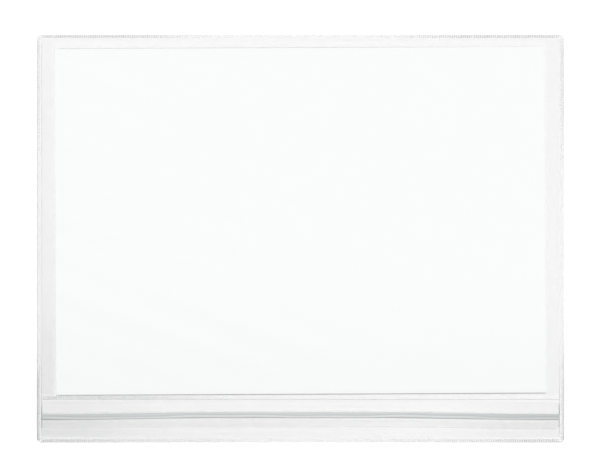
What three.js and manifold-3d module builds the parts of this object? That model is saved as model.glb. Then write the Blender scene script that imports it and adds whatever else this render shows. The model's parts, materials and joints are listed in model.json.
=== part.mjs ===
// Clear welded document pocket for one A4 landscape sheet, lying face up.
// Two clear films are welded round the rim with ribbed seams. The front film stops at a fifth seam below
// the sheet, and a flap hangs from that seam over the mouth. The flap presses shut on a zip: a groove strip
// under the flap snaps over a rib strip on the lower panel.
// Millimetres. +X runs to the reader's right, +Y to the top edge of the sheet and +Z up off the table.
// The origin is the middle of the underside.

import * as THREE from "three";
import { mergeVertices } from "three/addons/utils/BufferGeometryUtils.js";
import Module from "manifold-3d";

const wasm = await Module();
wasm.setup();

// The insert
const sheetWidth = 297;
const sheetHeight = 210;
const sheetThickness = 0.2;
const sheetTurnDegrees = 0.26; // the loose sheet lies a little askew

// Room round the insert inside the pocket
const sideRoom = 8.9;
const headRoom = 5.2;
const footRoom = 0.9;
const sheetClearance = 0.3; // to the film under the sheet and to the film over it

// Films and rim seams
const filmThickness = 0.3;
const seamWidth = 2.6;
const seamSlopeRun = 0.8; // the front film climbs from the seam to the window over this width
const cornerRadius = 3;

// Ribs pressed into a seam by the welding tool
const ribPitch = 1.32;
const weldFloor = 0.1; // film left under the grooves; the ribs keep the film's full thickness

// Closure: seam, flap, lower panel
const closureSeamWidth = 2.6;
const flapDrop = 17.7; // from the closure seam to the flap's free edge
const toeRoom = 5.8; // from the flap's free edge to the bottom seam
const closureBow = 1.2; // the zip and the free edge bow upwards in the middle by this much
const flapEndGap = 0.3; // between the flap's ends and the side seams
const hingeGap = 0.3; // between the closure seam and the flap's rounded root
const flapRootFlat = 0.8; // flat film beside the fold, before the flap starts to climb
const flapShoulder = 0.9; // flat film beyond each side of the zip
const lipDroop = 0.5; // the free edge hangs this much below the flap's top
const lipCornerRadius = 2;
const panelEdge = 0.6; // the lower panel's mouth edge stands this far past the rib strip

// Zip profiles
const zipFromSeam = 10.4; // closure seam to the middle of the zip
const zipBaseWidth = 3.6;
const zipBaseThickness = 0.3;
const zipClearance = 0.1; // all round the rib's head inside the groove
const ribStemWidth = 0.5;
const ribStemHeight = 0.4;
const ribHeadWidth = 1.2;
const ribHeadHeight = 0.5;
const ribTipWidth = 0.4;
const hookWallThickness = 0.4;
const hookLipHeight = 0.2;

// Facets
const bowSteps = 12;
const rampSteps = 6;
const arcSteps = 6;
const lipCornerSteps = 4;

// Places across the pocket
const pocketWidth = sheetWidth + 2 * (sideRoom + seamWidth);
const pocketHeight =
  seamWidth + headRoom + sheetHeight + footRoom + closureSeamWidth + flapDrop + toeRoom + seamWidth;
const windowHalfWidth = pocketWidth / 2 - seamWidth - seamSlopeRun;
const flapHalfLength = windowHalfWidth - flapEndGap;
const topSeamInnerY = pocketHeight / 2 - seamWidth;
const sheetTopY = topSeamInnerY - headRoom;
const closureSeamTopY = sheetTopY - sheetHeight - footRoom;
const closureSeamBottomY = closureSeamTopY - closureSeamWidth;
const bottomSeamInnerY = -pocketHeight / 2 + seamWidth;

// Heights off the table
const pocketDepth = sheetThickness + 2 * sheetClearance;
const frontUnderside = filmThickness + pocketDepth;
const frontTop = frontUnderside + filmThickness;

// The flap's group sits on its fold line, at the middle of the film's thickness
const hingeY = closureSeamBottomY - hingeGap - filmThickness / 2;
const hingeZ = frontTop + filmThickness / 2;
const zipOffset = closureSeamBottomY - zipFromSeam - hingeY; // the zip's middle, from the fold line
const freeEdgeOffset = closureSeamBottomY - flapDrop - hingeY;

// Heights in the closed zip, from the lower panel's top
const grooveHollowHeight = ribStemHeight + ribHeadHeight + zipClearance;
const zipClosedHeight = zipBaseThickness + grooveHollowHeight + zipBaseThickness;
const flapClimb = zipClosedHeight;

/** The bow of the closure at a place along it: nothing at the ends, all of it in the middle. */
function bowAt(x) {
  return closureBow * (1 - (x / flapHalfLength) ** 2);
}

/** A closed manifold solid of a geometry's positions. */
function solidOf(geometry) {
  const bare = geometry.clone();
  bare.deleteAttribute("normal");
  bare.deleteAttribute("uv");
  const merged = mergeVertices(bare);
  return new wasm.Manifold(
    new wasm.Mesh({
      numProp: 3,
      vertProperties: merged.attributes.position.array,
      triVerts: merged.index.array,
    }),
  );
}

/** The geometry of a manifold solid. */
function geometryOf(solid) {
  const mesh = solid.getMesh();
  const geometry = new THREE.BufferGeometry();
  geometry.setAttribute("position", new THREE.BufferAttribute(mesh.vertProperties, 3));
  geometry.setIndex(new THREE.BufferAttribute(mesh.triVerts, 1));
  geometry.computeVertexNormals();
  return geometry;
}

/** A closed outline through [x, y] points. */
function outline(points) {
  return new THREE.Shape(points.map(([x, y]) => new THREE.Vector2(x, y)));
}

/** A flat piece with this outline, from a height upwards. */
function plate(shape, underside, thickness, curveSegments = arcSteps) {
  const geometry = new THREE.ExtrudeGeometry(shape, { depth: thickness, bevelEnabled: false, curveSegments });
  return geometry.translate(0, 0, underside);
}

/** A bar along X with this cross-section, drawn as [y, z] points. */
function bar(shape, length, steps = 1) {
  const geometry = new THREE.ExtrudeGeometry(shape, { depth: length, bevelEnabled: false, steps });
  const crossSectionToYZ = new THREE.Matrix4().makeBasis(
    new THREE.Vector3(0, 1, 0),
    new THREE.Vector3(0, 0, 1),
    new THREE.Vector3(1, 0, 0),
  );
  return geometry.applyMatrix4(crossSectionToYZ).translate(-length / 2, 0, 0);
}

/** Moves every vertex of a geometry in Y by what shift gives for its x and y. */
function shiftInY(geometry, shift) {
  const positions = geometry.attributes.position;
  for (let i = 0; i < positions.count; i += 1) {
    const x = positions.getX(i);
    const y = positions.getY(i);
    positions.setY(i, y + shift(x, y));
  }
  geometry.computeVertexNormals();
  return geometry;
}

/** The pocket's outer outline, a rectangle with round corners. */
function pocketOutline() {
  const right = pocketWidth / 2;
  const top = pocketHeight / 2;
  const shape = new THREE.Shape();
  shape.absarc(right - cornerRadius, top - cornerRadius, cornerRadius, 0, Math.PI / 2);
  shape.absarc(-right + cornerRadius, top - cornerRadius, cornerRadius, Math.PI / 2, Math.PI);
  shape.absarc(-right + cornerRadius, -top + cornerRadius, cornerRadius, Math.PI, 1.5 * Math.PI);
  shape.absarc(right - cornerRadius, -top + cornerRadius, cornerRadius, 1.5 * Math.PI, 2 * Math.PI);
  return shape;
}

/** A film strip along X with welded ribs across its top, spanning 0 to -width in Y. */
function ribbedStrip(length, width, underside) {
  const grooveFloor = underside + weldFloor;
  const ribTop = underside + filmThickness;
  const ribCount = Math.floor(length / ribPitch);
  const firstGroove = (-ribCount * ribPitch) / 2;
  const points = [
    [-length / 2, underside],
    [length / 2, underside],
    [length / 2, grooveFloor],
  ];
  for (let i = ribCount; i >= 0; i -= 1) {
    points.push([firstGroove + i * ribPitch, grooveFloor]);
    if (i > 0) points.push([firstGroove + (i - 0.5) * ribPitch, ribTop]);
  }
  points.push([-length / 2, grooveFloor]);
  const geometry = new THREE.ExtrudeGeometry(outline(withoutRepeats(points)), { depth: width, bevelEnabled: false });
  return geometry.rotateX(Math.PI / 2);
}

/** The points without any that repeats the one before it. */
function withoutRepeats(points) {
  const least = 1e-6;
  return points.filter(([x, y], i) => {
    const [lastX, lastY] = points[(i + points.length - 1) % points.length];
    return Math.hypot(x - lastX, y - lastY) > least;
  });
}

/** One side of the rim: ribs over the weld, the film's climb to the window, and mitred ends. */
function rimSeam(length, turn, x, y) {
  const slopeEnd = seamWidth + seamSlopeRun;
  const ribs = solidOf(ribbedStrip(length, seamWidth, filmThickness));
  const climb = solidOf(
    bar(
      outline([
        [-seamWidth, filmThickness],
        [-seamWidth, 2 * filmThickness],
        [-slopeEnd, frontTop],
        [-slopeEnd, frontUnderside],
      ]),
      length,
    ),
  );
  const mitre = solidOf(
    plate(
      outline([
        [-length / 2, 0],
        [-length / 2 + slopeEnd, -slopeEnd],
        [length / 2 - slopeEnd, -slopeEnd],
        [length / 2, 0],
      ]),
      0,
      frontTop + filmThickness,
    ),
  );
  const placed = geometryOf(ribs.add(climb).intersect(mitre)).rotateZ(turn).translate(x, y, 0);
  const rim = solidOf(plate(pocketOutline(), 0, frontTop + filmThickness));
  return geometryOf(solidOf(placed).intersect(rim));
}

/** The seam that ends the front film and carries the flap: the film's edge with the flap's film welded over it. */
function closureSeam() {
  const length = 2 * windowHalfWidth;
  const ribs = solidOf(ribbedStrip(length, closureSeamWidth, frontTop));
  const edge = solidOf(
    plate(
      outline([
        [-windowHalfWidth, -closureSeamWidth],
        [windowHalfWidth, -closureSeamWidth],
        [windowHalfWidth, 0],
        [-windowHalfWidth, 0],
      ]),
      frontUnderside,
      filmThickness,
    ),
  );
  return geometryOf(ribs.add(edge)).translate(0, closureSeamTopY, 0);
}

/** The front film's flat window, from the top seam's climb to the closure seam. */
function frontFilm() {
  const top = topSeamInnerY - seamSlopeRun;
  const shape = outline([
    [-windowHalfWidth, closureSeamTopY],
    [windowHalfWidth, closureSeamTopY],
    [windowHalfWidth, top],
    [-windowHalfWidth, top],
  ]);
  return plate(shape, frontUnderside, filmThickness);
}

/** The front film below the mouth. Its upper edge bows with the zip that it carries. */
function lowerPanel() {
  const bottom = bottomSeamInnerY + seamSlopeRun;
  const mouth = hingeY + zipOffset + zipBaseWidth / 2 + panelEdge;
  const shape = new THREE.Shape();
  shape.moveTo(-windowHalfWidth, bottom);
  shape.lineTo(windowHalfWidth, bottom);
  shape.lineTo(windowHalfWidth, mouth);
  shape.quadraticCurveTo(0, mouth + 2 * closureBow, -windowHalfWidth, mouth);
  return plate(shape, frontUnderside, filmThickness, bowSteps);
}

/** The rib strip's cross-section: a base, a narrow stem and an arrow head. */
function ribProfile() {
  const stemTop = zipBaseThickness + ribStemHeight;
  const right = [
    [zipBaseWidth / 2, 0],
    [zipBaseWidth / 2, zipBaseThickness],
    [ribStemWidth / 2, zipBaseThickness],
    [ribStemWidth / 2, stemTop],
    [ribHeadWidth / 2, stemTop],
    [ribTipWidth / 2, stemTop + ribHeadHeight],
  ];
  return outline([...right, ...mirrored(right)]);
}

/** The groove strip's cross-section, drawn from its top downwards: a base and two hooks that meet round a stem. */
function grooveProfile() {
  const hollowHalf = ribHeadWidth / 2 + zipClearance;
  const wallHalf = hollowHalf + hookWallThickness;
  const mouthHalf = ribStemWidth / 2 + zipClearance;
  const hookEnd = -zipBaseThickness - grooveHollowHeight + zipClearance;
  const lipTop = hookEnd + hookLipHeight;
  const right = [
    [zipBaseWidth / 2, 0],
    [zipBaseWidth / 2, -zipBaseThickness],
    [wallHalf, -zipBaseThickness],
    [wallHalf, hookEnd + hookLipHeight],
    [mouthHalf + hookLipHeight, hookEnd],
    [mouthHalf, hookEnd],
    [mouthHalf, lipTop],
    [hollowHalf, lipTop],
    [hollowHalf, -zipBaseThickness],
  ];
  return outline([...right, ...mirrored(right)]);
}

/** The same points on the other side of the Y axis, in the order that closes the outline. */
function mirrored(points) {
  return points.map(([x, y]) => [-x, y]).reverse();
}

/** A zip strip: the profile swept along the closure and bowed with it. */
function zipStrip(profile, y, z) {
  const geometry = bar(profile, 2 * flapHalfLength, bowSteps).translate(0, y, z);
  return shiftInY(geometry, (x) => bowAt(x));
}

/** Height of the flap's underside over its root, by distance from the fold line. */
function flapRise(distance) {
  const rampEnd = -zipOffset - zipBaseWidth / 2 - flapShoulder;
  const lipStart = -zipOffset + zipBaseWidth / 2 + flapShoulder;
  if (distance > lipStart) {
    const share = (distance - lipStart) / (-freeEdgeOffset - lipStart);
    return flapClimb - lipDroop * share ** 2;
  }
  return flapClimb * THREE.MathUtils.smoothstep(distance, flapRootFlat, rampEnd);
}

/** The flap: a film with a rounded root, a climb over the zip and a drooping lip with round corners. */
function closureFlap() {
  const half = filmThickness / 2;
  const rampEnd = -zipOffset - zipBaseWidth / 2 - flapShoulder;
  const lipStart = -zipOffset + zipBaseWidth / 2 + flapShoulder;
  const distances = [flapRootFlat];
  for (let i = 1; i <= rampSteps; i += 1) {
    distances.push(flapRootFlat + ((rampEnd - flapRootFlat) * i) / rampSteps);
  }
  distances.push(lipStart, (lipStart - freeEdgeOffset) / 2, -freeEdgeOffset);
  const points = distances.map((d) => [-d, flapRise(d) - half]).reverse();
  for (let i = 0; i <= arcSteps; i += 1) {
    const angle = -Math.PI / 2 + (Math.PI * i) / arcSteps;
    points.push([half * Math.cos(angle), half * Math.sin(angle)]);
  }
  points.push(...distances.map((d) => [-d, flapRise(d) + half]));
  const geometry = bar(outline(points), 2 * flapHalfLength, bowSteps);
  const bowed = shiftInY(geometry, (x, y) => bowAt(x) * THREE.MathUtils.clamp(y / zipOffset, 0, 1));
  return geometryOf(solidOf(bowed).intersect(lipOutline()));
}

/** A block over the flap's plan, with its two free corners rounded. */
function lipOutline() {
  const reach = filmThickness;
  const end = flapHalfLength;
  const corner = lipCornerRadius;
  const shape = new THREE.Shape();
  shape.moveTo(end, reach);
  shape.lineTo(-end, reach);
  shape.lineTo(-end, freeEdgeOffset + corner);
  shape.absarc(-end + corner, freeEdgeOffset + corner, corner, Math.PI, 1.5 * Math.PI);
  shape.lineTo(end - corner, freeEdgeOffset);
  shape.absarc(end - corner, freeEdgeOffset + corner, corner, 1.5 * Math.PI, 2 * Math.PI);
  const height = flapClimb + 2 * filmThickness;
  return solidOf(plate(shape, -filmThickness, height, lipCornerSteps));
}

/** The insert, round the middle of its own underside. */
function insertSheet() {
  const right = sheetWidth / 2;
  const top = sheetHeight / 2;
  const shape = outline([
    [-right, -top],
    [right, -top],
    [right, top],
    [-right, top],
  ]);
  return plate(shape, 0, sheetThickness);
}

const clearFilm = new THREE.MeshStandardMaterial({
  color: 0xeceeee,
  roughness: 0.12,
  metalness: 0,
  transparent: true,
  opacity: 0.35,
});
const weldedFilm = new THREE.MeshStandardMaterial({
  color: 0xe2e4e4,
  roughness: 0.25,
  metalness: 0,
  transparent: true,
  opacity: 0.5,
});
const zipPlastic = new THREE.MeshStandardMaterial({
  color: 0xcdd0d0,
  roughness: 0.3,
  metalness: 0,
  transparent: true,
  opacity: 0.7,
});
const whitePaper = new THREE.MeshStandardMaterial({ color: 0xfafafa, roughness: 0.85, metalness: 0 });

/** A named mesh in its parent's frame. */
function piece(name, geometry, material) {
  const mesh = new THREE.Mesh(geometry, material.clone());
  mesh.name = name;
  return mesh;
}

const pocket = new THREE.Group();
pocket.add(
  piece("back_film", plate(pocketOutline(), 0, filmThickness), clearFilm),
  piece("front_film", frontFilm(), clearFilm),
  piece("lower_panel", lowerPanel(), clearFilm),
  piece("top_seam", rimSeam(pocketWidth, 0, 0, pocketHeight / 2), weldedFilm),
  piece("bottom_seam", rimSeam(pocketWidth, Math.PI, 0, -pocketHeight / 2), weldedFilm),
  piece("left_seam", rimSeam(pocketHeight, Math.PI / 2, -pocketWidth / 2, 0), weldedFilm),
  piece("right_seam", rimSeam(pocketHeight, -Math.PI / 2, pocketWidth / 2, 0), weldedFilm),
  piece("closure_seam", closureSeam(), weldedFilm),
  piece("zip_rib_strip", zipStrip(ribProfile(), hingeY + zipOffset, frontTop), zipPlastic),
);

const flap = new THREE.Group();
flap.position.set(0, hingeY, hingeZ);
flap.add(
  piece("closure_flap", closureFlap(), clearFilm),
  piece("zip_groove_strip", zipStrip(grooveProfile(), zipOffset, flapClimb - filmThickness / 2), zipPlastic),
);
pocket.add(flap);

const sheet = piece("insert_sheet", insertSheet(), whitePaper);
sheet.position.set(0, sheetTopY - sheetHeight / 2, filmThickness + sheetClearance);
sheet.rotation.z = THREE.MathUtils.degToRad(sheetTurnDegrees);
pocket.add(sheet);

export default pocket;
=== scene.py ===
"""Looks of a clear welded document pocket that holds a blank white sheet, seen from straight above."""

import json
import math

import bmesh
import bpy
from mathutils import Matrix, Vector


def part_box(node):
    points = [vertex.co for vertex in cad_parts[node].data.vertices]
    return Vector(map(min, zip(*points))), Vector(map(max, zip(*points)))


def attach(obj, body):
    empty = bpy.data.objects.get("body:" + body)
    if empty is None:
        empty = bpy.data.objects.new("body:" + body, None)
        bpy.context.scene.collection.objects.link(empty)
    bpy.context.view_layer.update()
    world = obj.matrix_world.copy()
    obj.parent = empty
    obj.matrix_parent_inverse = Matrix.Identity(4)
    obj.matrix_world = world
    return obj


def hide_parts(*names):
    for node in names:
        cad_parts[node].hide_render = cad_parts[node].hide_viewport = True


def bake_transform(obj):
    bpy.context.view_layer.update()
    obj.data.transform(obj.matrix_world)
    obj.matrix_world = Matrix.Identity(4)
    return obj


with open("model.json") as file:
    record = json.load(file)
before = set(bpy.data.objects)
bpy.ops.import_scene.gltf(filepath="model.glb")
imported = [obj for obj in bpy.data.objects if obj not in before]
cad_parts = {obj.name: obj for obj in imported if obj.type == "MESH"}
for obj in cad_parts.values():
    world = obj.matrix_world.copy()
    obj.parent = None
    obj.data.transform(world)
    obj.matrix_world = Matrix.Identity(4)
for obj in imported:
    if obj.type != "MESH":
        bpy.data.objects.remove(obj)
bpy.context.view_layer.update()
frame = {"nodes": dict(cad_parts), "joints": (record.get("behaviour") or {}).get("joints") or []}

MM = 0.001  # a millimetre in scene units

# Places of the pocket's pieces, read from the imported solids, in millimetres
SOLIDS = (
    "back_film",
    "front_film",
    "lower_panel",
    "closure_seam",
    "closure_flap",
    "zip_groove_strip",
    "zip_rib_strip",
    "insert_sheet",
)
BOX = {name: [[value / MM for value in corner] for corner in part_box(name)] for name in SOLIDS}
HALF_WIDTH = BOX["back_film"][1][0]
HALF_HEIGHT = BOX["back_film"][1][1]
BACK_TOP = BOX["back_film"][1][2]
WINDOW_HALF = BOX["front_film"][1][0]
WINDOW_TOP_Y = BOX["front_film"][1][1]
WINDOW_LOW_Y = BOX["front_film"][0][1]
FILM_LOW = BOX["front_film"][0][2]
FILM_HIGH = BOX["front_film"][1][2]
SEAM_LOW_Y = BOX["closure_seam"][0][1]
SEAM_HIGH_Y = BOX["closure_seam"][1][1]
PANEL_LOW_Y = BOX["lower_panel"][0][1]
PANEL_HIGH_Y = BOX["lower_panel"][1][1]
FLAP_HALF = BOX["closure_flap"][1][0]
FLAP_LOW_Y = BOX["closure_flap"][0][1]
FLAP_TOP = BOX["closure_flap"][1][2]
ZIP_LOW_Y = BOX["zip_groove_strip"][0][1]
ZIP_HIGH_Y = BOX["zip_groove_strip"][1][1]
HINGE = next(joint for joint in frame["joints"] if joint["name"] == "flap_hinge")
HINGE_Y = HINGE["pos_m"][1] / MM
HINGE_Z = HINGE["pos_m"][2] / MM

# Sizes in millimetres
FILM = FILM_HIGH - FILM_LOW
SKIN_GAP = 0.012  # between surfaces that touch on the real pocket
WELD_WIDTH = 2.6
CORNER_RADIUS = 3.0
CORNER_STEPS = 10
WELD_FLOOR = 0.12  # film left under the grooves of a weld
BEAD_WIDTH = 0.42  # plastic squeezed out along a weld's edges
BEAD_HEIGHT = 0.2
BEAD_TOP_FROM = 0.3 * BEAD_WIDTH
BEAD_TOP_TO = 0.6 * BEAD_WIDTH
CLOSURE_BEAD = 0.17
RIB_PITCH = 1.32
RIB_WIDTH = 0.6  # wider than the tool's teeth leave them, so that ribs so fine show
RIB_LENGTH = 1.7
RIB_HEIGHT = 0.5
RIB_SHIFT = 0.25  # the tool's teeth sit a little to the left, and along the top seam a little high
SHEET_WIDTH = 297.0
SHEET_TURN = math.radians(0.26)
DRAPE_DEPTH = 0.25  # how far the film sinks beyond the sheet's edges, clear of the sheet as it slides
DRAPE_RUN = 0.185  # half the width of that step
DRAPE_ENDS = 1.5  # along which the step sets in from the sheet's side edges
SHEET_MARGIN = 0.6  # beyond the sheet's side edges, to where the film counts as beside it
EDGE_BAND = 0.9 * DRAPE_RUN  # half the width of the painted shadow band along the sheet's lower edge
LONG_SLOPE = 0.39  # of the film's climb from the welds along the long sides, which leaves the sheet room
GENTLE_CLIMB = 4.5  # run of the gentle part of its climb from the side welds
RIPPLE_HEIGHT = 0.14
RIPPLE_FADE = 14.0  # from the film's edges to where it ripples in full
CLOSURE_BOW = 1.2
BOW_FADE = (0.3, 0.95)  # shares of the flap's half width between which the bow fades out
FOLD_END = 0.8  # from the hinge line to where the flap stops bending
ZIP_MARGIN = 0.9  # of flap that lies flat beyond the zip's edges
END_RUN = 0.7  # over which the ends of flap and zip are crushed down onto the side welds
FLAP_END = FLAP_HALF + END_RUN
ZIP_SHORT = 0.2  # the zip ends this far inside the flap's ends
LIP_CORNER = 2.0
LIP_DROOP = 0.5
LIP_EDGE = 0.4  # along the flap's free edge, where the cutter has pressed it down
STREAK_LENGTH = 120.0
STREAK_WIDTH = 1.3

# Spacing of points along and across the films
SIDE_INSETS = (0, 0.3, 0.6, 0.9, 1.3, 1.8, 2.4, 3.2)  # of the window's columns beside the side welds
WINDOW_EVEN = 4.0  # inset of its evenly spaced columns
DRAPE_STEPS = (-3, -1, -0.5, 0, 0.5, 1)  # of its rows by the sheet's edges, in runs of the drape
SHEET_INSET = 2.0  # from the sheet's edges to the evenly spaced rows over it
SHEET_OUTSET = 1.0  # from its upper edge to those above it
LIP_STEPS = (0.65, 0.3, 0)  # of the flap's last rows, in widths of its pressed edge
LIP_ANGLES = range(0, 90, 9)  # degrees, of its columns round the free corners
RIM_NEAR = [1, 2, 3, 4.5]  # distances of the rim's points from its corners
RIM_PARTS = 16  # of each straight side
LEAST_RADIUS = 0.02  # of the innermost loops at the corners, where points would otherwise meet
ZIP_EVEN = 2.0  # inset of the zip's evenly spaced sections
CLOSURE_INSET = 1.0  # of the closure weld's first and last rib

# Right halves of the zip's sections, as (distance from its middle, height or depth from its film's face)
ZIP_HALF = 1.8
RIB_SECTION = (
    (ZIP_HALF, 0.0),
    (ZIP_HALF, 0.2),
    (1.6, 0.3),
    (0.25, 0.3),
    (0.25, 0.7),
    (0.6, 0.7),
    (0.55, 0.85),
    (0.2, 1.18),
)
GROOVE_SECTION = (
    (0.4, 0.0),
    (0.8, 0.0),
    (1.2, 0.0),
    (1.6, 0.0),
    (ZIP_HALF, 0.1),
    (ZIP_HALF, 0.2),
    (1.7, 0.3),
    (1.1, 0.3),
    (1.1, 1.0),
    (0.85, 1.2),
    (0.35, 1.2),
    (0.35, 1.0),
    (0.7, 1.0),
    (0.7, 0.3),
)

# Shares of the film's climb beside the side welds that are steep, above the mouth
LEFT_SHARP = 0.6
RIGHT_SHARP = 0.15
NEAR_MOUTH = (60, 92)  # how far below the middle the climb grows steeper, and is all steep

# Waves of the loose film, as (share of the height, length across the pocket, length up it, turn)
RIPPLES = (
    (0.50, 61, 23, 0.4),
    (0.30, -37, 47, 1.9),
    (0.20, 29, -71, 3.1),
)

# Waves of the zip's painted grey line of shade, as (share of the zip's width, length, turn)
ZIP_WAVES = (
    (0.09, 117, 0.8),
    (0.05, 43, 2.1),
)
ZIP_LEAN = 0.3  # share of the zip's greying that moves from its left end to its right

# Shares by which the flap's edges are crushed
END_CRUSH = 0.8  # of the height, at the ends
LIP_PRESS = 0.35  # of the film's thickness, along the free edge
LIP_LEAN = 0.25  # more of it at the right end, less at the left

# Slopes up to 21 degrees look as clear as flat film: 1 less the cosine of a little more than that
FLAT_ENOUGH = 0.07
SMOOTH_UP_TO = math.radians(40)  # between faces that meet in a smooth edge

# Drape, bead heights, and painted shade and shadow, as shares, or as (share, where it sets in, where it is
# full)
UPPER_RIGHT_DRAPE = (0.35, 20, 130)  # how much less the film sinks off the sheet there
# Painted shade on the window film: beside the sheet and over it, darker towards the bottom and on the left,
# and a painted shadow line along the sheet's lower edge, stronger to the right
LEFT_MARGIN_SHADE = 0.008
RIGHT_MARGIN_SHADE = 0.0085
LOWER_LEFT_MARGIN_SHADE = (0.018, 20, 95)
LOWER_RIGHT_MARGIN_SHADE = (0.008, 20, 95)
OVER_SHEET_SHADE = (0.0055, 20, 95)
SHEET_EDGE_SHADOW = (0.13, 40, 140)
# Painted shade on the flap and the lower film: darker towards their ends, and the lower film towards its left
# end
FLAP_END_SHADE = (0.03, 75, 152)
TOE_END_SHADE = (0.07, 60, 150)
LOWER_FILM_LEFT_SHADE = (0.05, 85, 152)
THIN_BEAD = 0.05
TOP_BEAD_ENDS = (0.55, 150, HALF_WIDTH)
BOTTOM_BEAD_ENDS = 0.95
RIGHT_BEAD = 0.6
LEFT_BEAD = 1.0
LOWER_LEFT_BEAD = (0.6, 70, 90)
LEFT_SHADE = 0.03
LOWER_LEFT_SHADE = (0.3, 68, 92)
UPPER_RIGHT_SHADE = (0.05, 30, 90)
LOWER_RIGHT_SHADE = (0.2, 50, 90)
# Painted shade on the ribs, over their milkiness: greyer where their ticks show darker
CORNER_RIB_SHADE = 0.15
TOP_RIB_SHADE = (0.7, 30, 110)
BOTTOM_RIB_SHADE = 0.85
BOTTOM_RIB_SHADE_POWER = 0.9
UPPER_SIDE_RIB_SHADE = (0.35, 25, 90)
LOWER_SIDE_RIB_SHADE = (0.1, 40, 100)
CLOSURE_RIB_SHADE = (0.7, 20, 120)
CORNER_REACH = CORNER_RADIUS + 0.3  # from the outline, both ways, that the corners' light painted rib shade takes up
NEAR_RIM = 1.5 * WELD_WIDTH  # from the outline, within which a weld is the rim's
OUTER_BEAD = 0.9 * BEAD_WIDTH  # from the outline, within which a point is on the outer bead

# The photograph's frame, in millimetres
FRAME_WIDTH = 364.0
FRAME_CENTRE = (-0.3, 1.67)
CAMERA_HEIGHT = 1600.0
SENSOR_WIDTH = 36.0
CLIP_NEAR = 10.0
CLIP_FAR = 20000.0

# The studio
FLOOR_HALF = 3000.0
FLOOR_DROP = 0.1
FLOOR_LIFT = 0.2  # brings the floor up to plain white
WORLD_FILL = 0.47  # strength of the light from all round
MIRRORED_SIDES = 0.75  # how white the surroundings look in glossy film, low down
MIRRORED_ABOVE = 0.66  # and overhead, on their white side
WHITE_SIDE = (3.0, 4.0, 0.0)
BLACK_TO = -0.55  # lean towards the white side up to which they are black overhead
WHITE_FROM = -0.12  # lean from which they are as white as they get there
OVERHEAD_FROM = 0.8  # rise of a direction from which it begins to count as overhead
OVERHEAD_TO = 0.97

VINYL_IOR = 1.53
GRAZING_POWER = 3.0  # how late the film's gloss sets in as it is seen more edge on
GRAZING_COVER = 0.5  # how much of what lies behind it then covers
RIB_COVER = 0.2  # how much a rib without painted shade covers
RIB_SHADE_COVER = 0.75  # and how much more one in full painted shade


def linear(hex_colour):
    """A colour written as sRGB hex, as linear red, green, blue and alpha."""
    channels = [int(hex_colour[i : i + 2], 16) / 255 for i in (0, 2, 4)]
    return tuple(c / 12.92 if c <= 0.04045 else ((c + 0.055) / 1.055) ** 2.4 for c in channels) + (1.0,)


def add(tree, kind, settings=None, **inputs):
    """Adds a node, sets its properties, and gives each named input a value or a link from another socket."""
    made = tree.nodes.new(kind)
    for key, value in (settings or {}).items():
        setattr(made, key, value)
    for key, value in inputs.items():
        slot = int(key[1:]) if key[0] == "i" and key[1:].isdigit() else key.replace("_", " ")
        if isinstance(value, bpy.types.NodeSocket):
            tree.links.new(value, made.inputs[slot])
        else:
            made.inputs[slot].default_value = value
    return made


def new_material(name):
    """An empty node material and its tree."""
    material = bpy.data.materials.new(name)
    material.use_nodes = True
    material.node_tree.nodes.clear()
    return material, material.node_tree


def finish_surface(mesh):
    """Turns a mesh's faces outwards, smooths it, and notes how steep it is in an attribute that also carries
    painted shade.
    """
    work = bmesh.new()
    work.from_mesh(mesh)
    bmesh.ops.recalc_face_normals(work, faces=work.faces)
    work.to_mesh(mesh)
    work.free()
    mesh.shade_smooth()
    mesh.set_sharp_from_angle(angle=SMOOTH_UP_TO)
    steepness = [max(1 - abs(normal.vector.z) - FLAT_ENOUGH, 0) for normal in mesh.corner_normals]
    layer = mesh.attributes.get("flank_and_painted_shade") or mesh.attributes.new("flank_and_painted_shade", "FLOAT", "CORNER")
    layer.data.foreach_set("value", steepness)


def piece(name, points, faces, material, body, replaces=()):
    """A smooth piece from points in millimetres, with its body, its finish and the solids it stands for."""
    mesh = bpy.data.meshes.new(name)
    mesh.from_pydata([[value * MM for value in point] for point in points], [], faces)
    finish_surface(mesh)
    mesh.materials.append(material)
    obj = bpy.data.objects.new(name, mesh)
    bpy.context.scene.collection.objects.link(obj)
    if body:
        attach(obj, body)
    if replaces:
        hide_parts(*replaces)
    obj.visible_shadow = False
    obj.visible_diffuse = False
    return obj


def loft(sections):
    """Points and faces of a closed form through sections that are loops of the same even number of points.

    A loop runs along one side of the film and back along the other, so that a row of quads closes its ends.
    """
    count = len(sections[0])
    points = [point for section in sections for point in section]
    faces = []
    for i in range(len(sections) - 1):
        for j in range(count):
            k = (j + 1) % count
            faces.append((i * count + j, i * count + k, (i + 1) * count + k, (i + 1) * count + j))
    last = (len(sections) - 1) * count
    for j in range(count // 2 - 1):
        faces.append((j + 1, j, count - 1 - j, count - 2 - j))
        faces.append((last + j, last + j + 1, last + count - 2 - j, last + count - 1 - j))
    return points, faces


def spread(low, high, steps):
    """steps + 1 evenly spaced values from low to high."""
    return [low + (high - low) * i / steps for i in range(steps + 1)]


def smoothstep(value, low, high):
    """0 below low, 1 above high and an S-curve between."""
    share = min(max((value - low) / (high - low), 0.0), 1.0)
    return share * share * (3 - 2 * share)


def fade_in(distance, mark):
    """What a mark adds at a distance from the pocket's middle."""
    share, start, full = mark
    return share * smoothstep(distance, start, full)


# Camera, over the middle of the photograph's frame
camera_data = bpy.data.cameras.new("camera")
camera_data.sensor_width = SENSOR_WIDTH
camera_data.lens = SENSOR_WIDTH * CAMERA_HEIGHT / FRAME_WIDTH
camera_data.clip_start = CLIP_NEAR * MM
camera_data.clip_end = CLIP_FAR * MM
camera = bpy.data.objects.new("camera", camera_data)
camera.location = (FRAME_CENTRE[0] * MM, FRAME_CENTRE[1] * MM, CAMERA_HEIGHT * MM)
bpy.context.scene.collection.objects.link(camera)
bpy.context.scene.camera = camera


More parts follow.
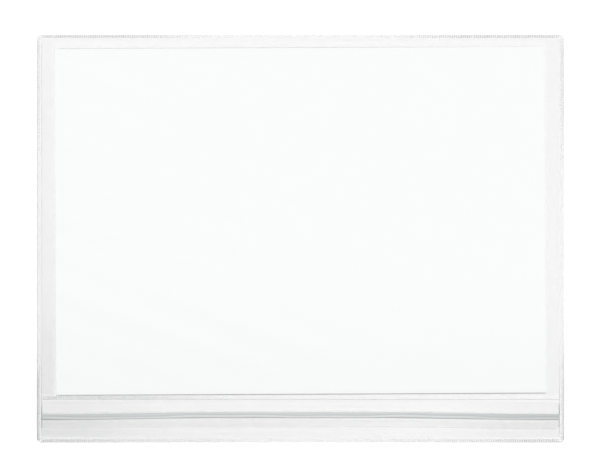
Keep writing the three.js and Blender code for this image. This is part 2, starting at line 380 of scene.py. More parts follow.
def film_material(
    name,
    tint="FEFEFE",
    flank_tint="5E6062",
    flank_gain=1.0,
    haze=0.03,
    ripple_mm=34.0,
    ripple_height=0.1,
    body="F4F4F4",
    flank_cover=0.25,
    streaks=0.0,
):
    """Flexible clear vinyl: nearly all light goes straight through, and the surface adds haze and gloss.

    On the steep side of a bead or a fold the film bends light aside, so less of what lies behind is seen. So
    do the faint streaks that the rollers leave along it. Painted shade, added to the same attribute, greys
    the film alike.
    """
    material, tree = new_material(name)
    place = add(tree, "ShaderNodeTexCoord").outputs["Object"]
    ripple = add(tree, "ShaderNodeTexNoise", Vector=place, Scale=1 / (ripple_mm * MM), Detail=2.0)
    bump = add(
        tree,
        "ShaderNodeBump",
        Height=ripple.outputs["Fac"],
        Strength=1.0,
        Distance=ripple_height * MM,
    ).outputs["Normal"]
    # steepness of the surface, plus painted shade added to it
    steepness = add(tree, "ShaderNodeAttribute", {"attribute_name": "flank_and_painted_shade"}).outputs["Fac"]
    drawn = add(
        tree,
        "ShaderNodeMapping",
        Vector=place,
        Scale=(1 / (STREAK_LENGTH * MM), 1 / (STREAK_WIDTH * MM), 1 / (STREAK_LENGTH * MM)),
    ).outputs[0]
    streak = add(
        tree,
        "ShaderNodeMapRange",
        Value=add(tree, "ShaderNodeTexNoise", Vector=drawn, Scale=1.0, Detail=2.0).outputs["Fac"],
        From_Min=0.35,
        From_Max=0.65,
        To_Min=0.0,
        To_Max=streaks,
    ).outputs[0]
    flank_and_painted_shade = add(
        tree,
        "ShaderNodeMath",
        {"operation": "MULTIPLY_ADD", "use_clamp": True},
        i0=steepness,
        i1=flank_gain,
        i2=streak,
    ).outputs[0]
    seen_through = add(
        tree,
        "ShaderNodeMix",
        {"data_type": "RGBA"},
        i0=flank_and_painted_shade,
        i6=linear(tint),
        i7=linear(flank_tint),
    ).outputs[2]
    facing = add(tree, "ShaderNodeLayerWeight", Normal=bump, Blend=0.5).outputs["Facing"]
    grazing = add(tree, "ShaderNodeMath", {"operation": "POWER"}, i0=facing, i1=GRAZING_POWER).outputs[0]
    glossy = add(
        tree,
        "ShaderNodeMath",
        {"operation": "MULTIPLY_ADD"},
        i0=grazing,
        i1=GRAZING_COVER,
        i2=haze,
    ).outputs[0]
    cover = add(
        tree,
        "ShaderNodeMath",
        {"operation": "MULTIPLY_ADD", "use_clamp": True},
        i0=flank_and_painted_shade,
        i1=flank_cover,
        i2=glossy,
    ).outputs[0]
    through = add(tree, "ShaderNodeBsdfTransparent", Color=seen_through).outputs[0]
    surface = add(
        tree,
        "ShaderNodeBsdfPrincipled",
        Base_Color=linear(body),
        Roughness=0.18,
        IOR=VINYL_IOR,
        Coat_Weight=1.0,
        Coat_Roughness=0.1,
        Coat_IOR=4.0,
        Normal=bump,
        Coat_Normal=bump,
    ).outputs[0]
    mixed = add(tree, "ShaderNodeMixShader", i0=cover, i1=through, i2=surface).outputs[0]
    add(tree, "ShaderNodeOutputMaterial", Surface=mixed)
    return material


# Calendered soft vinyl film, drawn smooth between rollers: clear, glossy, with long faint ripples.
CLEAR_FILM = film_material("calendered clear vinyl film", flank_tint="BEC0C1", streaks=0.025)

# The back film, whose underside clings to the surface it lies on here and there and hazes a little more.
BACK_FILM = film_material(
    "clear vinyl film lying on a surface",
    tint="FAFAFA",
    flank_tint="BEC0C1",
    haze=0.23,
)

# The film over the sheet, smoothed by the paper under it: its steep folds show dark.
WINDOW_FILM = film_material("clear vinyl film over paper", flank_gain=1.9)

# The flap's film, which greys where it climbs over the zip and droops to its free edge.
FLAP_FILM = film_material("clear vinyl film of a flap", flank_gain=1.2, streaks=0.012)

# The same film where the welding tool has pressed it: beads catch the light on their flanks.
WELDED_FILM = film_material(
    "heat welded clear vinyl",
    flank_tint="8C8E90",
    flank_gain=1.8,
    ripple_mm=9.0,
    ripple_height=0.02,
    body="E4E4E4",
    flank_cover=0.4,
)


def rib_material():
    """Ribs that the welding tool's teeth leave: milky, and greyer with painted shade where their ticks show
    darker.
    """
    material, tree = new_material("ribs in welded clear vinyl")
    shade_share = add(tree, "ShaderNodeAttribute", {"attribute_name": "flank_and_painted_shade"}).outputs["Fac"]
    place = add(tree, "ShaderNodeTexCoord").outputs["Object"]
    grain = add(tree, "ShaderNodeTexNoise", Vector=place, Scale=1 / (0.4 * MM), Detail=2.0).outputs["Fac"]
    bump = add(tree, "ShaderNodeBump", Height=grain, Strength=0.4, Distance=0.02 * MM).outputs[0]
    colour = add(
        tree,
        "ShaderNodeMix",
        {"data_type": "RGBA"},
        i0=shade_share,
        i6=linear("F4F4F4"),
        i7=linear("9EA0A2"),
    ).outputs[2]
    cover = add(
        tree,
        "ShaderNodeMath",
        {"operation": "MULTIPLY_ADD", "use_clamp": True},
        i0=shade_share,
        i1=RIB_SHADE_COVER,
        i2=RIB_COVER,
    ).outputs[0]
    through = add(tree, "ShaderNodeBsdfTransparent", Color=linear("FEFEFE")).outputs[0]
    surface = add(
        tree,
        "ShaderNodeBsdfPrincipled",
        Base_Color=colour,
        Roughness=0.3,
        IOR=VINYL_IOR,
        Normal=bump,
    ).outputs[0]
    mixed = add(tree, "ShaderNodeMixShader", i0=cover, i1=through, i2=surface).outputs[0]
    add(tree, "ShaderNodeOutputMaterial", Surface=mixed)
    return material


RIB_FILM = rib_material()


def zip_material():
    """Extruded vinyl zip profile: milky, with painted grey lines of shade where its hooks and edges bend the
    light away.
    """
    material, tree = new_material("extruded vinyl zip profile")
    across = add(tree, "ShaderNodeAttribute", {"attribute_name": "across"}).outputs["Fac"]
    ramp = add(tree, "ShaderNodeValToRGB", Fac=across)
    # painted shade across the zip, from edge to edge
    stops = [
        (0.0, "B6B8B9"),
        (0.1, "C0C2C3"),
        (0.25, "DCDEDF"),
        (0.36, "E2E3E4"),
        (0.46, "D0D2D3"),
        (0.57, "BEC0C1"),
        (0.72, "D4D6D7"),
        (1.0, "CACCCD"),
    ]
    while len(ramp.color_ramp.elements) < len(stops):
        ramp.color_ramp.elements.new(0.5)
    for element, (position, colour) in zip(ramp.color_ramp.elements, stops):
        element.position = position
        element.color = linear(colour)
    reach = add(tree, "ShaderNodeAttribute", {"attribute_name": "reach"}).outputs["Fac"]
    colour = add(
        tree,
        "ShaderNodeMix",
        {"data_type": "RGBA", "blend_type": "MULTIPLY"},
        i0=reach,
        i6=ramp.outputs["Color"],
        i7=linear("F2F3F3"),
    ).outputs[2]
    surface = add(
        tree,
        "ShaderNodeBsdfPrincipled",
        Base_Color=colour,
        Roughness=0.3,
        IOR=VINYL_IOR,
    ).outputs[0]
    add(tree, "ShaderNodeOutputMaterial", Surface=surface)
    return material


ZIP_PROFILE = zip_material()


def paper_material():
    """Uncoated white office paper: matt, with a fibre formation that is only just visible."""
    material, tree = new_material("uncoated white office paper")
    place = add(tree, "ShaderNodeTexCoord").outputs["Object"]
    cloud = add(tree, "ShaderNodeTexNoise", Vector=place, Scale=1 / (3.0 * MM), Detail=4.0).outputs["Fac"]
    fibre = add(tree, "ShaderNodeTexNoise", Vector=place, Scale=1 / (0.6 * MM), Detail=3.0).outputs["Fac"]
    colour = add(
        tree,
        "ShaderNodeMix",
        {"data_type": "RGBA"},
        i0=cloud,
        i6=linear("F6F7F7"),
        i7=linear("F8F9F9"),
    ).outputs[2]
    bump = add(tree, "ShaderNodeBump", Height=fibre, Strength=0.15, Distance=0.01 * MM).outputs[0]
    surface = add(
        tree,
        "ShaderNodeBsdfPrincipled",
        Base_Color=colour,
        Roughness=0.9,
        Specular_IOR_Level=0.25,
        Normal=bump,
    ).outputs[0]
    add(tree, "ShaderNodeOutputMaterial", Surface=surface)
    return material


PAPER = paper_material()


def dress(node, material):
    """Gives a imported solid, which keeps its own shape, its material."""
    obj = frame["nodes"][node]
    for slot in obj.material_slots:
        slot.material = material
    obj.visible_shadow = material is PAPER
    obj.visible_diffuse = False


dress("back_film", BACK_FILM)
dress("insert_sheet", PAPER)


def ripple(x, y):
    """Height of the faint waves that a loose film lies in, between -1 and 1."""
    return sum(
        share * math.sin(2 * math.pi * (x / across + y / up) + turn) for share, across, up, turn in RIPPLES
    )


def sharp_share(x, y):
    """Share of its climb beside a side weld that the front film makes at once: all of it near the mouth."""
    above_mouth = RIGHT_SHARP if x > 0 else LEFT_SHARP
    return above_mouth + (1 - above_mouth) * smoothstep(-y, *NEAR_MOUTH)


def film_climb(x, y):
    """Share of its full height that the front film has reached at a place inside the rim's weld."""
    inset = HALF_WIDTH - WELD_WIDTH - abs(x)
    sharp = sharp_share(x, y)
    beside = sharp * smoothstep(inset, 0, HALF_WIDTH - WELD_WIDTH - WINDOW_HALF)
    beside += (1 - sharp) * smoothstep(inset, 0, GENTLE_CLIMB)
    rise = FILM_LOW - BACK_TOP - SKIN_GAP
    above = min(LONG_SLOPE * max(HALF_HEIGHT - WELD_WIDTH - abs(y), 0) / rise, 1)
    return beside * above


def film_middle(x, y):
    """Height of the middle of the front film's thickness, before ripples."""
    low = BACK_TOP + SKIN_GAP + FILM / 2
    return low + ((FILM_LOW + FILM_HIGH) / 2 - low) * film_climb(x, y)


def film_row(x, places, middle, thickness):
    """One section of a film, at one x: along its top, and back along its underside."""
    top = [(x, y, middle(x, y) + thickness / 2) for y in places]
    under = [(x, y, middle(x, y) - thickness / 2) for y in reversed(places)]
    return top + under


def sheet_edges(x):
    """Where the sheet's lower and upper edges lie at a place along them: the sheet is turned a little."""
    (low_x, low_y, _), (high_x, high_y, _) = BOX["insert_sheet"]
    rise = math.sin(SHEET_TURN) * SHEET_WIDTH
    share = (x - low_x) / (high_x - low_x)
    return low_y + rise * share, high_y - rise * (1 - share)


def window_painted_shade(x, y):
    """How much painted shade greys the film over the window: beside the sheet and over it, more towards the
    bottom, and as a painted shadow line along its lower edge.
    """
    if abs(x) > SHEET_WIDTH / 2 + SHEET_MARGIN:
        return RIGHT_MARGIN_SHADE + fade_in(-y, LOWER_RIGHT_MARGIN_SHADE) if x > 0 else LEFT_MARGIN_SHADE + fade_in(-y, LOWER_LEFT_MARGIN_SHADE)
    if abs(y - sheet_edges(x)[0]) < EDGE_BAND:
        return fade_in(x, SHEET_EDGE_SHADOW)
    return fade_in(-y, OVER_SHEET_SHADE)


def flap_painted_shade(x, y):
    """How much painted shade greys the flap, towards its ends."""
    return fade_in(abs(x), FLAP_END_SHADE)


def lower_painted_shade(x, y):
    """How much painted shade greys the lower film: towards its left end, and at both ends below the flap."""
    toe = fade_in(abs(x), TOE_END_SHADE) if y < FLAP_LOW_Y else 0
    return toe + fade_in(-x, LOWER_FILM_LEFT_SHADE)


def add_painted_shade(mesh, share_at):
    """Adds the painted shade that a function gives for each place to the film's steepness attribute, but not
    on ribs.
    """
    flank_and_painted_shade = mesh.attributes["flank_and_painted_shade"].data
    for face in mesh.polygons:
        if face.material_index > 0:
            continue
        for corner in face.loop_indices:
            place = mesh.vertices[mesh.loops[corner].vertex_index].co
            flank_and_painted_shade[corner].value += share_at(place.x / MM, place.y / MM)


def window_film():
    """The front film over the sheet: it drapes off the sheet's long edges and ripples elsewhere."""
    side = [WINDOW_HALF - inset for inset in SIDE_INSETS]
    even = spread(WINDOW_EVEN - WINDOW_HALF, WINDOW_HALF - WINDOW_EVEN, steps=148)
    columns = [-x for x in side] + even + list(reversed(side))
    drape = [DRAPE_RUN * share for share in DRAPE_STEPS]
    row_gap = 0.01  # keeps rows apart where the sheet's edge comes near the film's

    def middle(x, y):
        edge = min(WINDOW_HALF - abs(x), WINDOW_TOP_Y - y, y - WINDOW_LOW_Y)
        low, high = sheet_edges(x)
        sunk = 1 - smoothstep(y, low - DRAPE_RUN, low + DRAPE_RUN)
        sunk += (1 - fade_in(x, UPPER_RIGHT_DRAPE)) * smoothstep(y, high - DRAPE_RUN, high + DRAPE_RUN)
        waves = RIPPLE_HEIGHT * smoothstep(edge, 0, RIPPLE_FADE) * ripple(x, y)
        beside = smoothstep(SHEET_WIDTH / 2 - abs(x), 0, DRAPE_ENDS)
        return min(film_middle(x, y), (FILM_LOW + FILM_HIGH) / 2 - DRAPE_DEPTH * sunk * beside) + waves

    sections = []
    for x in columns:
        low, high = sheet_edges(x)
        rows = [WINDOW_LOW_Y]
        rows += [max(low + step, WINDOW_LOW_Y + row_gap * i) for i, step in enumerate(drape[1:], 1)]
        rows += spread(low + SHEET_INSET, high - SHEET_INSET, steps=96)
        rows += [high + step for step in drape]
        rows += spread(high + SHEET_OUTSET, WINDOW_TOP_Y, steps=8)
        sections.append(film_row(x, rows, middle, FILM))
    points, faces = loft(sections)
    obj = piece("window_film", points, faces, WINDOW_FILM, "pocket", ["front_film"])
    add_painted_shade(obj.data, window_painted_shade)


def bow_at(x):
    """How far the zip and the flap's free edge bow upwards at a place along them."""
    return CLOSURE_BOW * (1 - smoothstep(abs(x / FLAP_HALF), *BOW_FADE))


def lower_film():
    """The front film below the mouth."""
    mouth = PANEL_HIGH_Y - CLOSURE_BOW
    sections = []
    for x in spread(-WINDOW_HALF, WINDOW_HALF, steps=120):
        rows = spread(PANEL_LOW_Y, mouth + bow_at(x), steps=20)
        sections.append(film_row(x, rows, film_middle, FILM))
    points, faces = loft(sections)
    obj = piece("lower_film", points, faces, CLEAR_FILM, "pocket", ["lower_panel"])
    add_painted_shade(obj.data, lower_painted_shade)


def flap_rise(distance, x):
    """Height of the flap's film over its root, by distance from the hinge line and place along it."""
    climb = FLAP_TOP - HINGE_Z - FILM / 2
    zip_near = HINGE_Y - ZIP_HIGH_Y + CLOSURE_BOW - ZIP_MARGIN
    zip_far = HINGE_Y - ZIP_LOW_Y + ZIP_MARGIN
    lip = HINGE_Y - FLAP_LOW_Y
    if distance > zip_far:
        pressed = (LIP_PRESS + LIP_LEAN * x / FLAP_HALF) * max((distance - lip) / LIP_EDGE + 1, 0) ** 2
        return climb - LIP_DROOP * ((distance - zip_far) / (lip - zip_far)) ** 2 - pressed * FILM
    return climb * smoothstep(distance, FOLD_END, zip_near)


def end_height(x):
    """Share of their height that the flap and the zip keep at a place along them: crushed low at the ends."""
    return 1 - END_CRUSH * smoothstep(abs(x), FLAP_END - END_RUN, FLAP_END)


def flap_film():
    """The flap beyond its fold, with its drooping lip, crushed ends and round free corners."""
    lip = HINGE_Y - FLAP_LOW_Y
    bow_reach = HINGE_Y - (ZIP_LOW_Y + ZIP_HIGH_Y - CLOSURE_BOW) / 2
    corner = [FLAP_END - LIP_CORNER * (1 - math.cos(math.radians(angle))) for angle in LIP_ANGLES]
    inner = spread(-(FLAP_END - LIP_CORNER), FLAP_END - LIP_CORNER, steps=96)
    columns = [-x for x in corner] + inner + list(reversed(corner))
    sections = []
    for x in columns:
        over = max(abs(x) - (FLAP_END - LIP_CORNER), 0)
        cut = LIP_CORNER - math.sqrt(max(LIP_CORNER**2 - over**2, 0))
        distances = spread(FOLD_END, lip - cut - LIP_EDGE, steps=54)
        distances += [lip - cut - LIP_EDGE * share for share in LIP_STEPS]
        top = []
        under = []
        for distance in distances:
            y = HINGE_Y - distance + bow_at(x) * min(distance / bow_reach, 1)
            z = HINGE_Z + flap_rise(distance, x) * end_height(x) + SKIN_GAP
            top.append((x, y, z + FILM / 2))
            under.append((x, y, z - FILM / 2))
        sections.append(top + list(reversed(under)))
    points, faces = loft(sections)
    obj = piece("flap_film", points, faces, FLAP_FILM, "flap", ["closure_flap"])
    add_painted_shade(obj.data, flap_painted_shade)


def flap_fold():
    """The stretch of film between the closure weld and the flap, which bends on the real pocket as the flap
    turns; here it stays flat.
    """
    rows = spread(SEAM_LOW_Y, HINGE_Y - FOLD_END, steps=16)
    columns = spread(-FLAP_END, FLAP_END, steps=24)

    def middle(x, y):
        return HINGE_Z + SKIN_GAP

    points, faces = loft([film_row(x, rows, middle, FILM) for x in columns])
    obj = piece("flap_fold", points, faces, CLEAR_FILM, None)
    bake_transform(obj)


def weld_profile(low, bead_height):
    """Top of a weld's section as (distance from its outer edge, height): a bead, then a low floor."""
    floor = low + WELD_FLOOR
    return [
        (0.0, floor),
        (BEAD_TOP_FROM, floor + bead_height),
        (BEAD_TOP_TO, floor + bead_height),
        (BEAD_WIDTH, floor),
        (WELD_WIDTH, floor),
    ]


def rim_ring(inset, height):
    """One loop of the rim, this far inside the pocket's outline, with most of its points near the corners."""
    radius = max(CORNER_RADIUS - inset, LEAST_RADIUS)
    right = HALF_WIDTH - inset - radius
    top = HALF_HEIGHT - inset - radius
    corners = [(right, top), (-right, top), (-right, -top), (right, -top)]
    ring = []
    for quarter, (middle_x, middle_y) in enumerate(corners):
        for step in range(CORNER_STEPS + 1):
            angle = math.pi / 2 * (quarter + step / CORNER_STEPS)
            ring.append((middle_x + radius * math.cos(angle), middle_y + radius * math.sin(angle), height))
        start = ring[-1]
        after_x, after_y = corners[(quarter + 1) % 4]
        angle = math.pi / 2 * (quarter + 1)
        end = (after_x + radius * math.cos(angle), after_y + radius * math.sin(angle))
        length = math.dist(start[:2], end)
        inner = [length * i / RIM_PARTS for i in range(1, RIM_PARTS)]
        far = [length - reach for reach in reversed(RIM_NEAR)]
        for reach in RIM_NEAR + inner + far:
            share = reach / length
            x = start[0] + (end[0] - start[0]) * share
            y = start[1] + (end[1] - start[1]) * share
            ring.append((x, y, height))
    return ring


def bead_share(x, y):
    """Share of its full height that the rim's outer bead has: least in the middle of the long seams."""
    if y > HALF_HEIGHT - WELD_WIDTH:
        return THIN_BEAD + fade_in(abs(x), TOP_BEAD_ENDS)
    if y < WELD_WIDTH - HALF_HEIGHT:
        return THIN_BEAD + BOTTOM_BEAD_ENDS * abs(x / HALF_WIDTH)
    return RIGHT_BEAD if x > 0 else LEFT_BEAD + fade_in(-y, LOWER_LEFT_BEAD)


def ring_form(rings):
    """Points and faces of a closed band that runs round the pocket through rings of points."""
    count = len(rings[0])
    points = [point for ring in rings for point in ring]
    faces = []
    for i in range(len(rings)):
        j = (i + 1) % len(rings)
        for k in range(count):
            m = (k + 1) % count
            faces.append((i * count + k, i * count + m, j * count + m, j * count + k))
    return points, faces


def window_border():
    """The front film's climb from the rim's weld to the window."""
    insets = spread(WELD_WIDTH, HALF_WIDTH - WINDOW_HALF, steps=8)
    rings = []
    for side, order in ((FILM / 2, insets), (-FILM / 2, list(reversed(insets)))):
        for inset in order:
            rings.append([(x, y, film_middle(x, y) + side) for x, y, _ in rim_ring(inset, 0)])
    points, faces = ring_form(rings)
    piece("window_border", points, faces, CLEAR_FILM, "pocket")


def ribs_tree():
    """Geometry Nodes that stand a flat bar across a path at every step, as the welding tool's teeth do."""
    tree = bpy.data.node_groups.new("Welded ribs", "GeometryNodeTree")
    sockets = (
        ("Geometry", "INPUT", "NodeSocketGeometry", None),
        ("Rib count", "INPUT", "NodeSocketInt", 100),
        ("Rib width", "INPUT", "NodeSocketFloat", RIB_WIDTH * MM),
        ("Rib length", "INPUT", "NodeSocketFloat", RIB_LENGTH * MM),
        ("Rib height", "INPUT", "NodeSocketFloat", RIB_HEIGHT * MM),
        ("Material", "INPUT", "NodeSocketMaterial", None),
        ("Geometry", "OUTPUT", "NodeSocketGeometry", None),
    )
    for name, side, kind, value in sockets:
        made = tree.interface.new_socket(name, in_out=side, socket_type=kind)
        if value is not None:
            made.default_value = value
    given = add(tree, "NodeGroupInput").outputs
    size = add(
        tree,
        "ShaderNodeCombineXYZ",
        X=given["Rib width"],
        Y=given["Rib height"],
        Z=given["Rib length"],
    ).outputs[0]
    rod = add(
        tree,
        "GeometryNodeMeshCylinder",
        {"fill_type": "NGON"},
        Vertices=10,
        Radius=0.5,
        Depth=1.0,
    ).outputs[0]
    rib = add(
        tree,
        "GeometryNodeTransform",
        Geometry=rod,
        Scale=size,
        Rotation=(math.radians(90), 0, 0),
    ).outputs[0]
    steps = add(
        tree,
        "GeometryNodeResampleCurve",
        {"mode": "COUNT"},
        Curve=given["Geometry"],
        Count=given["Rib count"],
    ).outputs[0]
    tangent = add(tree, "GeometryNodeInputTangent").outputs[0]
    turn = add(
        tree,
        "FunctionNodeAlignRotationToVector",
        {"axis": "X", "pivot_axis": "Z"},
        Vector=tangent,
    ).outputs[0]
    placed = add(tree, "GeometryNodeInstanceOnPoints", Points=steps, Instance=rib, Rotation=turn).outputs[0]
    real = add(tree, "GeometryNodeRealizeInstances", Geometry=placed).outputs[0]
    finished = add(tree, "GeometryNodeSetMaterial", Geometry=real, Material=given["Material"]).outputs[0]
    add(tree, "NodeGroupOutput", Geometry=finished)
    return tree


RIBS = ribs_tree()


def ribs_along(path, closed, sizes):
    """The mesh of ribs along a path of points in millimetres, made by the ribs tree."""
    curve = bpy.data.curves.new("rib path", "CURVE")
    curve.dimensions = "3D"
    spline = curve.splines.new("POLY")
    spline.points.add(len(path) - 1)
    for point, place in zip(spline.points, path):
        point.co = (place[0] * MM, place[1] * MM, place[2] * MM, 1)
    spline.use_cyclic_u = closed
    obj = bpy.data.objects.new("rib path", curve)
    bpy.context.scene.collection.objects.link(obj)
    modifier = obj.modifiers.new("ribs", "NODES")
    modifier.node_group = RIBS
    for item in RIBS.interface.items_tree:
        if item.in_out == "INPUT" and item.name in sizes:
            modifier[item.identifier] = sizes[item.name]
    seen = obj.evaluated_get(bpy.context.evaluated_depsgraph_get())
    mesh = bpy.data.meshes.new_from_object(seen)
    bpy.data.objects.remove(obj)
    bpy.data.curves.remove(curve)
    return mesh


def rib_shade(x, y):
    """How much painted shade greys the ribs at a place, up to 1: most near the corners, but not on them."""
    beside = HALF_WIDTH - abs(x)
    above = HALF_HEIGHT - abs(y)
    if max(beside, above) < CORNER_REACH:
        return CORNER_RIB_SHADE
    if above < NEAR_RIM:
        if y > 0:
            return fade_in(abs(x), TOP_RIB_SHADE)
        return BOTTOM_RIB_SHADE * abs(x / HALF_WIDTH) ** BOTTOM_RIB_SHADE_POWER
    if beside < NEAR_RIM:
        return fade_in(y, UPPER_SIDE_RIB_SHADE) + fade_in(-y, LOWER_SIDE_RIB_SHADE)
    return fade_in(-x, CLOSURE_RIB_SHADE)


def bead_shade(x, y):
    """How much darker the rim's outer bead is than its slope makes it, along the side seams."""
    if abs(x) < HALF_WIDTH - OUTER_BEAD:
        return 0
    if x > 0:
        return fade_in(y, UPPER_RIGHT_SHADE) + fade_in(-y, LOWER_RIGHT_SHADE)
    return LEFT_SHADE + fade_in(-y, LOWER_LEFT_SHADE)


def path_length(path, closed):
    """Length of a path through points, in the points' own unit."""
    ends = path[1:] + (path[:1] if closed else [])
    return sum(math.dist(a, b) for a, b in zip(path, ends))


def welded_piece(name, points, faces, path, closed, replaces):
    """A weld's band with the ribs of its path standing on it, as one piece."""
    count = round(path_length(path, closed) / RIB_PITCH) + (0 if closed else 1)
    ribs = ribs_along(path, closed, {"Rib count": count, "Material": RIB_FILM})
    obj = piece(name, points, faces, WELDED_FILM, None)
    obj.data.materials.append(RIB_FILM)
    joined = bmesh.new()
    joined.from_mesh(obj.data)
    band_faces = len(joined.faces)
    joined.from_mesh(ribs)
    joined.faces.ensure_lookup_table()
    for face in joined.faces[band_faces:]:
        face.material_index = 1
    joined.to_mesh(obj.data)
    joined.free()
    bpy.data.meshes.remove(ribs)
    finish_surface(obj.data)
    # the ribs' greying is painted shade, set place by place
    flank_and_painted_shade = obj.data.attributes["flank_and_painted_shade"].data
    for face in obj.data.polygons:
        if face.material_index == 1:
            shade_share = rib_shade(face.center.x / MM, face.center.y / MM)
            for corner in face.loop_indices:
                flank_and_painted_shade[corner].value = shade_share
    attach(obj, "pocket")
    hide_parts(*replaces)
    return obj


def rim_weld():
    """The ribbed weld round the pocket."""
    low = BACK_TOP + SKIN_GAP
    profile = [(0.0, low)] + weld_profile(low, BEAD_HEIGHT) + [(WELD_WIDTH, low)]
    floor = low + WELD_FLOOR
    rings = []
    for inset, height in profile:
        bead = max(height - floor, 0)
        rings.append([(x, y, height - bead * (1 - bead_share(x, y))) for x, y, _ in rim_ring(inset, height)])
    points, faces = ring_form(rings)
    path = []
    for x, y, z in rim_ring(WELD_WIDTH / 2, floor):
        path.append((x - RIB_SHIFT, y + (RIB_SHIFT if y > 0 else 0), z))
    seams = ["top_seam", "bottom_seam", "left_seam", "right_seam"]
    obj = welded_piece("rim_weld", points, faces, path, True, seams)
    add_painted_shade(obj.data, bead_shade)


def closure_weld():
    """The ribbed weld that ends the front film and carries the flap."""
    low = FILM_HIGH - SKIN_GAP
    upper = [(SEAM_LOW_Y + inset, height) for inset, height in weld_profile(low, CLOSURE_BEAD)]
    loop = upper + [(y, FILM_LOW) for y, _ in reversed(upper)]
    columns = spread(-WINDOW_HALF, WINDOW_HALF, steps=24)
    points, faces = loft([[(x, y, z) for y, z in loop] for x in columns])
    middle_y = (SEAM_LOW_Y + SEAM_HIGH_Y) / 2
    rib_end = WINDOW_HALF - CLOSURE_INSET
    path = [(x, middle_y, low + WELD_FLOOR) for x in spread(-rib_end, rib_end, steps=8)]
    welded_piece("closure_weld", points, faces, path, False, ["closure_seam"])


def wander(x):
    """How far the grey line along the zip strays to one side, as a share of the zip's width."""
    return sum(share * math.sin(2 * math.pi * x / length + turn) for share, length, turn in ZIP_WAVES)


def zip_strip(name, outline_points, middle_y, body, replaces):
    """A zip strip swept along the closure.

    Its attributes say how far across the strip each point lies, and how near to its ends.
    """
    crushed = spread(FLAP_END - 2 * END_RUN, FLAP_END - ZIP_SHORT, steps=8)
    even = spread(ZIP_EVEN - FLAP_END, FLAP_END - ZIP_EVEN, steps=144)
    columns = [-x for x in reversed(crushed)] + even + crushed
    count = len(outline_points)
    base = BOX["zip_rib_strip"][0][2] if body == "pocket" else HINGE_Z - FILM / 2
    points = []
    across = []
    reach = []
    for x in columns:
        for y, z in outline_points:
            points.append((x, middle_y + bow_at(x) + y, base + (z - base) * end_height(x)))
            share = 0.5 + 0.5 * y / ZIP_HALF
            across.append(share + 4 * share * (1 - share) * wander(x))
            reach.append((x / FLAP_HALF) ** 2 * (1 - ZIP_LEAN + ZIP_LEAN * x / FLAP_HALF))
    faces = []
    for i in range(len(columns) - 1):
        for j in range(count):
            k = (j + 1) % count
            faces.append((i * count + j, (i + 1) * count + j, (i + 1) * count + k, i * count + k))
    faces.append(tuple(range(count)))
    faces.append(tuple(reversed(range((len(columns) - 1) * count, len(columns) * count))))
    obj = piece(name, points, faces, ZIP_PROFILE, body, replaces)
    for attribute, values in (("across", across), ("reach", reach)):
        layer = obj.data.attributes.new(attribute, "FLOAT", "POINT")
        layer.data.foreach_set("value", values)


def zip_strips():
    """Both halves of the zip, in their real sections."""
    low_z = BOX["zip_rib_strip"][0][2] + SKIN_GAP
    high_z = BOX["zip_groove_strip"][1][2]
    middle_y = ZIP_LOW_Y + ZIP_HALF
    rib = [(y, low_z + z) for y, z in RIB_SECTION]
    rib += [(-y, z) for y, z in reversed(rib)]
    half = [(y, high_z - z) for y, z in GROOVE_SECTION]
    groove = [(0.0, high_z)] + half + [(-y, z) for y, z in reversed(half)]
    zip_strip("rib_profile", list(reversed(rib)), middle_y, "pocket", ["zip_rib_strip"])
    zip_strip("groove_profile", groove, middle_y, "flap", ["zip_groove_strip"])


window_film()
lower_film()
flap_film()
flap_fold()
window_border()
rim_weld()
closure_weld()
zip_strips()


def stage_plane(name, half, height, material):
    """A flat square in millimetres that isn't part of the pocket."""
    mesh = bpy.data.meshes.new(name)
    corners = [(-half, -half), (half, -half), (half, half), (-half, half)]
    mesh.from_pydata([(x * MM, y * MM, height * MM) for x, y in corners], [], [(0, 1, 2, 3)])
    mesh.materials.append(material)
    obj = bpy.data.objects.new(name, mesh)
    bpy.context.scene.collection.objects.link(obj)


def floor_material():
    """White paper sweep that just reaches white where nothing shades it."""
    material, tree = new_material("white studio floor")
    path = add(tree, "ShaderNodeLightPath").outputs
    seen = add(
        tree,
        "ShaderNodeMath",
        {"operation": "MAXIMUM"},
        i0=path["Is Camera Ray"],
        i1=path["Is Glossy Ray"],
    ).outputs[0]
    lift = add(tree, "ShaderNodeMath", {"operation": "MULTIPLY"}, i0=seen, i1=FLOOR_LIFT).outputs[0]
    glow = add(tree, "ShaderNodeEmission", Color=(1, 1, 1, 1), Strength=lift).outputs[0]
    matt = add(tree, "ShaderNodeBsdfDiffuse", Color=linear("F4F4F4")).outputs[0]
    both = add(tree, "ShaderNodeAddShader", i0=matt, i1=glow).outputs[0]
    add(tree, "ShaderNodeOutputMaterial", Surface=both)
    return material


stage_plane("floor", FLOOR_HALF, -FLOOR_DROP, floor_material())


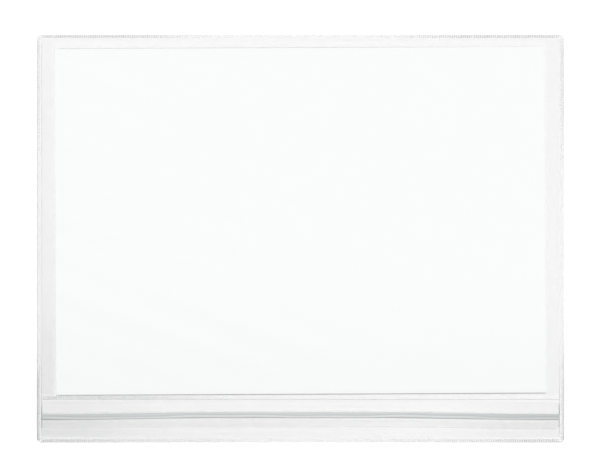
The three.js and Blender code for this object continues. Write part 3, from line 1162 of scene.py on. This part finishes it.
def studio_world():
    """White surroundings for the camera and the light, which look greyer mirrored in glossy film."""
    world = bpy.data.worlds.new("studio")
    bpy.context.scene.world = world
    world.use_nodes = True
    tree = world.node_tree
    tree.nodes.clear()
    path = add(tree, "ShaderNodeLightPath").outputs
    direction = add(tree, "ShaderNodeTexCoord").outputs["Generated"]
    lean = add(
        tree,
        "ShaderNodeVectorMath",
        {"operation": "DOT_PRODUCT"},
        i0=direction,
        i1=WHITE_SIDE,
    ).outputs["Value"]
    above = add(
        tree,
        "ShaderNodeMapRange",
        Value=lean,
        From_Min=BLACK_TO,
        From_Max=WHITE_FROM,
        To_Min=0.0,
        To_Max=MIRRORED_ABOVE,
    ).outputs[0]
    height = add(tree, "ShaderNodeSeparateXYZ", Vector=direction).outputs["Z"]
    overhead = add(
        tree,
        "ShaderNodeMapRange",
        Value=height,
        From_Min=OVERHEAD_FROM,
        From_Max=OVERHEAD_TO,
    ).outputs[0]
    mirrored = add(
        tree,
        "ShaderNodeMix",
        {"data_type": "FLOAT"},
        i0=overhead,
        i2=MIRRORED_SIDES,
        i3=above,
    ).outputs[0]
    unseen = add(
        tree,
        "ShaderNodeMix",
        {"data_type": "FLOAT"},
        i0=path["Is Glossy Ray"],
        i2=WORLD_FILL,
        i3=mirrored,
    ).outputs[0]
    strength = add(
        tree,
        "ShaderNodeMix",
        {"data_type": "FLOAT"},
        i0=path["Is Camera Ray"],
        i2=unseen,
        i3=1.0,
    ).outputs[0]
    background = add(tree, "ShaderNodeBackground", Color=(1, 1, 1, 1), Strength=strength).outputs[0]
    add(tree, "ShaderNodeOutputWorld", Surface=background)


studio_world()


def key_light(direction, strength, spread_degrees):
    """A far soft light that shines on the pocket from a direction."""
    data = bpy.data.lights.new("key light", "SUN")
    data.energy = strength
    data.angle = math.radians(spread_degrees)
    obj = bpy.data.objects.new("key light", data)
    obj.location = direction
    obj.rotation_euler = obj.location.to_track_quat("Z", "Y").to_euler()
    obj.visible_glossy = False
    bpy.context.scene.collection.objects.link(obj)


key_light(direction=(0.15, 1.0, 1.5), strength=2.25, spread_degrees=6.0)

bpy.context.scene.view_settings.view_transform = "Standard"
